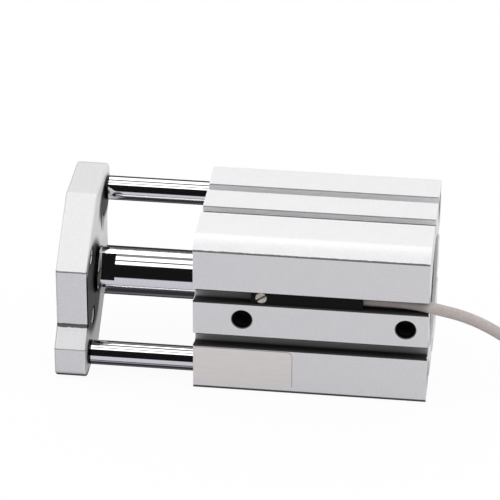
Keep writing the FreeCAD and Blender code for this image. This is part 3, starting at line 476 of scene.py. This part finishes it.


# painted shade on the back and the foot of the plate, its darker shelf and its dark lines
def plateShade(tree, place):
    parts = axesOf(tree, place)
    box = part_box("end_plate")
    shelf = above(tree, parts["Z"], box[1].z - shelfShade["edge"] * mm)
    return product(tree, plateBackShade(tree, parts, box), footShade(tree, parts, "plate"),
                   shadedWhere(tree, shelf, shelfShade["shade"]),
                   lineShades(tree, parts, place, box, edgeLines["plate"]))


# painted shade: the dark ring where each rod leaves the plate
rodRing = {"width": 0.8, "shade": 0.04}


def rodRingShade(tree, place):
    half = rodRing["width"] / 2 * mm
    away = awayFrom(tree, axesOf(tree, place)["X"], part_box("end_plate")[1].x + half)
    return shadedWhere(tree, below(tree, away, half), rodRing["shade"])


# painted shade on the lead's part inside the slot, from where it is dark to where it is bright
slotLead = {"dark": 54.6, "bright": 57.0, "shade": 0.6}


def leadShade(tree, place):
    return between(tree, axesOf(tree, place)["X"], slotLead["dark"] * mm,
                   slotLead["bright"] * mm, slotLead["shade"], 1)


# the film's edge, dark along its free sides and round its free corner: its cut edge with a painted
# shadow
filmEdge = {"corner": 1.4, "width": 0.13, "shade": 0.42}


def filmShade(tree, place):
    parts = axesOf(tree, place)
    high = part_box("rating_film")[1]
    turn = filmEdge["corner"] * mm
    past = [sums(tree, "MAXIMUM", sums(tree, "SUBTRACT", parts[axis], edge - turn), 0)
            for axis, edge in (("X", high.x), ("Z", high.z))]
    onEdge = above(tree, radiusFrom(tree, *past, (0, 0)), turn - filmEdge["width"] * mm)
    return shadedWhere(tree, onEdge, filmEdge["shade"])


# painted shade for three finishes, and copies of the anodised finish with painted shade for the
# body and the plate
shades = {"hard_chrome": rodRingShade, "cable_jacket": leadShade, "blank_film": filmShade}
looks = {name: makeFinish(name, finish, shades.get(name)) for name, finish in finishes.items()}
bodyLook = makeFinish("anodised_body", finishes["anodised_aluminium"], bodyShade)
plateLook = makeFinish("anodised_plate", finishes["anodised_aluminium"], plateShade)
slotOf = {part["node"]: part["material_slot"] for part in frame["record"]["subparts"]}
for name, node in nodes.items():
    for slot in node.material_slots:
        slot.material = looks[slotOf[name]]
switchLead.data.materials.append(looks["cable_jacket"])
print("finishes assigned")


# pieces made from mesh code, with edges and faces in the order of their corners in every run

def settleOrder(mesh):
    mesh.verts.index_update()
    for parts in (mesh.edges, mesh.faces):
        ranked = sorted(parts, key=lambda part: sorted(corner.index for corner in part.verts))
        for rank, part in enumerate(ranked):
            part.index = rank
        parts.sort()


def newPiece(name, mesh, body, look):
    settleOrder(mesh)
    data = bpy.data.meshes.new(name)
    mesh.to_mesh(data)
    mesh.free()
    piece = bpy.data.objects.new(name, data)
    bpy.context.scene.collection.objects.link(piece)
    data.materials.append(look)
    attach(piece, body)
    return piece


# the two aluminium blocks with their edges broken
edgeBreaks = {"width": 0.14, "segments": 2, "sharpAngle": 32, "flatAngle": 0.6,
              "creaseAngle": 60, "weld": 0.002, "steadiness": 100}


def breakEdges(nodeName, pieceName, body, look):
    node = nodes[nodeName]
    mesh = bmesh.new()
    mesh.from_mesh(node.data)
    mesh.transform(node.matrix_world)
    bmesh.ops.remove_doubles(mesh, verts=mesh.verts, dist=edgeBreaks["weld"] * mm)
    bmesh.ops.dissolve_limit(mesh, angle_limit=math.radians(edgeBreaks["flatAngle"]),
                             verts=mesh.verts, edges=mesh.edges)
    sharp = [edge for edge in mesh.edges if len(edge.link_faces) == 2
             and edge.calc_face_angle() > math.radians(edgeBreaks["sharpAngle"])]
    bmesh.ops.bevel(mesh, geom=sharp, offset=edgeBreaks["width"] * mm, affect="EDGES",
                    segments=edgeBreaks["segments"], profile=0.5, material=-1,
                    clamp_overlap=True)
    for face in mesh.faces:
        face.smooth = True
        face.material_index = 0
    for edge in mesh.edges:
        if len(edge.link_faces) == 2:
            edge.smooth = edge.calc_face_angle() <= math.radians(edgeBreaks["creaseAngle"])
    piece = newPiece(pieceName, mesh, body, look)
    steady = piece.modifiers.new("steady_normals", "WEIGHTED_NORMAL")
    steady.keep_sharp = True
    steady.weight = edgeBreaks["steadiness"]
    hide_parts(nodeName)


breakEdges("body_extrusion", "body_block", "barrel", bodyLook)
breakEdges("end_plate", "plate_block", "carriage", plateLook)
print("edges broken")


# thread ridges in the tapped holes, and each kind of hole's thread
ridge = {"pointsPerTurn": 20, "rise": 0.16, "wall": 0.01, "crest": 0.06, "root": 0.46}
threads = {"port": {"sunk": 0.6, "pitch": 0.8, "length": 4.0},
           "plate": {"sunk": 0.3, "pitch": 0.8, "length": 6.4},
           "bolt": {"sunk": 0.4, "pitch": 1.0, "length": 10.0}}


def makeThread(name, body, kind, mouth, direction, radius):
    thread = threads[kind]
    axis = Vector(direction)
    start = Vector(mouth) + axis * thread["sunk"] * mm
    side = axis.orthogonal().normalized()
    section = ((-ridge["root"], ridge["wall"]), (-ridge["crest"], ridge["rise"]),
               (ridge["crest"], ridge["rise"]), (ridge["root"], ridge["wall"]))
    mesh = bmesh.new()
    points = [mesh.verts.new(start + axis * (0.5 + shift) * thread["pitch"] * mm
                             + side * (radius - rise) * mm) for shift, rise in section]
    edges = [mesh.edges.new(pair) for pair in zip(points, points[1:])]
    turns = int(thread["length"] / thread["pitch"])
    bmesh.ops.spin(mesh, geom=points + edges, cent=start, axis=axis, angle=2 * math.pi * turns,
                   steps=turns * ridge["pointsPerTurn"],
                   dvec=axis * thread["pitch"] / ridge["pointsPerTurn"] * mm, use_merge=False)
    bmesh.ops.recalc_face_normals(mesh, faces=mesh.faces)
    mesh.faces.ensure_lookup_table()
    crest = mesh.faces[1]
    if crest.normal.dot(crest.calc_center_median() - start) > 0:
        bmesh.ops.reverse_faces(mesh, faces=mesh.faces)
    for face in mesh.faces:
        face.smooth = True
    newPiece(name, mesh, body, looks["oiled_thread"])


bodyLow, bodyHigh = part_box("body_extrusion")
for name in ("rod_air_port", "head_air_port"):
    port = mounts[name]
    makeThread(name + "_thread", "barrel", "port", (port["pos_m"][0], bodyLow.y, 0), (0, 1, 0),
               port["dims"]["r_mm"])
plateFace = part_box("end_plate")[0].x
plateHoles = mounts["tool_plate_bolts"]["dims"]
for across, side in ((-1, "front"), (1, "back")):
    for up, level in ((-1, "low"), (1, "high")):
        half = plateHoles["spacing_x_mm"] / 2 * mm
        makeThread(f"plate_thread_{side}_{level}", "carriage", "plate",
                   (plateFace, across * half, up * half), (1, 0, 0), plateHoles["hole_r_mm"])
for place, face, heading in (("rod", bodyLow.x, 1), ("head", bodyHigh.x, -1)):
    holes = mounts[place + "_side_bolts"]["dims"]
    reach = holes["pcd_mm"] / 2 * math.sqrt(0.5) * mm
    for sign, side in ((-1, "front"), (1, "back")):
        makeThread(f"{place}_{side}_bolt_thread", "barrel", "bolt",
                   (face, sign * reach, -sign * reach), (heading, 0, 0), holes["hole_r_mm"])
print("threads cut")


# the tie's ratchet head with its trimmed tail
tieHead = {"size": (3.4, 4.2, 2.6), "sunk": 0.3, "tail": (4.2, 2.2, 0.8),
           "tailPlace": (2.2, 0, 0.5), "bevel": 0.35, "segments": 2}


def addBlock(mesh, centre, size):
    made = bmesh.ops.create_cube(mesh, size=1)["verts"]
    bmesh.ops.scale(mesh, vec=Vector(size) * mm, verts=made)
    bmesh.ops.translate(mesh, vec=centre, verts=made)


def makeTieHead():
    low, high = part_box("cable_tie")
    mesh = bmesh.new()
    top = Vector(((low.x + high.x) / 2, (low.y + high.y) / 2, high.z))
    middle = Vector((0, 0, tieHead["size"][2] / 2 - tieHead["sunk"]))
    addBlock(mesh, top + middle * mm, tieHead["size"])
    addBlock(mesh, top + Vector(tieHead["tailPlace"]) * mm, tieHead["tail"])
    bmesh.ops.bevel(mesh, geom=mesh.edges[:], offset=tieHead["bevel"] * mm, affect="EDGES",
                    segments=tieHead["segments"], profile=0.5, material=-1, clamp_overlap=True)
    newPiece("tie_head", mesh, "switch", looks["tie_nylon"])


# the bare strands at the ends of the two wires
strands = {"around": 6, "radius": 0.13, "lay": 0.28, "length": 4.0, "pitch": 6.0, "steps": 16,
           "sides": 6, "lead": 0.12, "sunk": 1.0, "inset": 0.55}


def makeStrands(name, wireName, sideways):
    mesh = bmesh.new()
    low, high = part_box(wireName)
    tip = Vector((high.x if sideways > 0 else low.x, high.y, (low.z + high.z) / 2))
    along = Vector((sideways * strands["lead"], 1, 0)).normalized()
    start = tip - (along * strands["sunk"] + Vector((sideways * strands["inset"], 0, 0))) * mm
    level = along.to_track_quat("Z", "Y")
    for strand in range(strands["around"] + 1):
        lay = strands["lay"] if strand else 0.0
        turned = Quaternion(along, 2 * math.pi * strand / strands["around"])
        place = Matrix.LocRotScale(start + turned @ Vector((0, 0, lay)) * mm, level, None)
        rim = bmesh.ops.create_circle(mesh, segments=strands["sides"],
                                      radius=strands["radius"] * mm, matrix=place)["verts"]
        edges = list(dict.fromkeys(edge for corner in rim for edge in corner.link_edges))
        bmesh.ops.spin(mesh, geom=rim + edges, cent=start, axis=along, steps=strands["steps"],
                       angle=2 * math.pi * strands["length"] / strands["pitch"],
                       dvec=along * strands["length"] / strands["steps"] * mm, use_merge=False)
    bmesh.ops.holes_fill(mesh, edges=mesh.edges, sides=strands["sides"])
    bmesh.ops.recalc_face_normals(mesh, faces=mesh.faces)
    for face in mesh.faces:
        face.smooth = True
    newPiece(name, mesh, "switch", looks["bare_copper"])


makeTieHead()
makeStrands("brown_wire_strands", "brown_wire", -1)
makeStrands("blue_wire_strands", "blue_wire", 1)
print("lead dressed")


# floor, light and surroundings

studio = {"floorReach": 3.0, "bounce": (0.72, 0.71, 0.73), "whiteShare": 0.94, "endLight": 0.85,
          "endEdge": 0.1, "floorTint": (1.0, 0.97, 1.06)}


def makeFloor():
    mesh = bmesh.new()
    bmesh.ops.create_grid(mesh, x_segments=1, y_segments=1, size=studio["floorReach"])
    bmesh.ops.translate(mesh, vec=(0, 0, cadLow.z), verts=mesh.verts)
    data = bpy.data.meshes.new("floor")
    mesh.to_mesh(data)
    mesh.free()
    floor = bpy.data.objects.new("floor", data)
    bpy.context.scene.collection.objects.link(floor)
    material = bpy.data.materials.new("floor")
    material.use_nodes = True
    tree = material.node_tree
    tree.nodes.clear()
    ray = addNode(tree, "LightPath").outputs["Is Camera Ray"]
    lit = addNode(tree, "BsdfDiffuse", {"Color": (1, 1, 1, 1)}).outputs[0]
    card = addNode(tree, "BsdfDiffuse", {"Color": (*studio["bounce"], 1)}).outputs[0]
    white = addNode(tree, "Emission").outputs[0]
    pale = addNode(tree, "MixShader", {0: studio["whiteShare"], 1: lit, 2: white}).outputs[0]
    seen = addNode(tree, "MixShader", {0: ray, 1: card, 2: pale}).outputs[0]
    addNode(tree, "OutputMaterial", {"Surface": seen})
    data.materials.append(material)
    floor.visible_glossy = False


# the studio wrapped round the X axis: degrees from the front horizon up over the top, with the
# brightness that mirrors see and that other surfaces are lit by
surroundings = [
    (-180, 0.03, 1.0), (-118, 0.03, 0.7), (-114, 0.13, 0.7), (-98, 0.13, 0.7), (-94, 0.035, 0.7),
    (-66, 0.035, 0.7), (-63, 0.42, 0.7), (-57, 0.42, 0.7), (-55, 0.06, 0.7), (-49, 0.06, 0.7),
    (-44, 0.64, 0.65), (-8, 0.68, 0.6), (-5, 0.008, 0.6), (55, 0.008, 0.62), (58, 2.0, 1.05),
    (71, 2.0, 1.1), (72.5, 0.10, 1.1), (78.5, 0.10, 1.1), (80, 2.0, 1.1), (96, 2.0, 1.1),
    (98, 0.30, 1.1), (114, 0.30, 1.1), (116, 2.6, 1.1), (138, 2.3, 1.05), (142, 0.85, 1.0),
    (157, 0.80, 1.0), (163, 0.05, 1.0), (180, 0.03, 1.0),
]


def makeWorld():
    world = bpy.data.worlds.new("studio")
    bpy.context.scene.world = world
    world.use_nodes = True
    tree = world.node_tree
    tree.nodes.clear()
    parts = axesOf(tree, addNode(tree, "TexCoord").outputs["Generated"])
    front = product(tree, parts["Y"], -1.0)
    angle = sums(tree, "ARCTAN2", parts["Z"], front)
    wrapped = addNode(tree, "MapRange", {"Value": angle, "From Min": -math.pi,
                                         "From Max": math.pi}).outputs[0]
    mirrored, diffused = (
        rampOf(tree, wrapped, [((row[0] + 180) / 360, (row[level],) * 3)
                               for row in surroundings]) for level in (1, 2))
    mirrored = blended(tree, below(tree, angle, 0), mirrored, (*studio["floorTint"], 1),
                       blend_type="MULTIPLY")
    atEnd = between(tree, parts["X"], 0.0, studio["endEdge"])
    mirrored = blended(tree, atEnd, mirrored, (*(studio["endLight"],) * 3, 1))
    ray = addNode(tree, "LightPath").outputs
    lit = blended(tree, ray["Is Glossy Ray"], diffused, mirrored)
    shown = blended(tree, ray["Is Camera Ray"], lit, (1, 1, 1, 1))
    light = addNode(tree, "Background", {"Color": shown}).outputs[0]
    addNode(tree, "OutputWorld", {"Surface": light})


makeFloor()
makeWorld()
bpy.context.scene.view_settings.view_transform = "Standard"
print("studio ready")
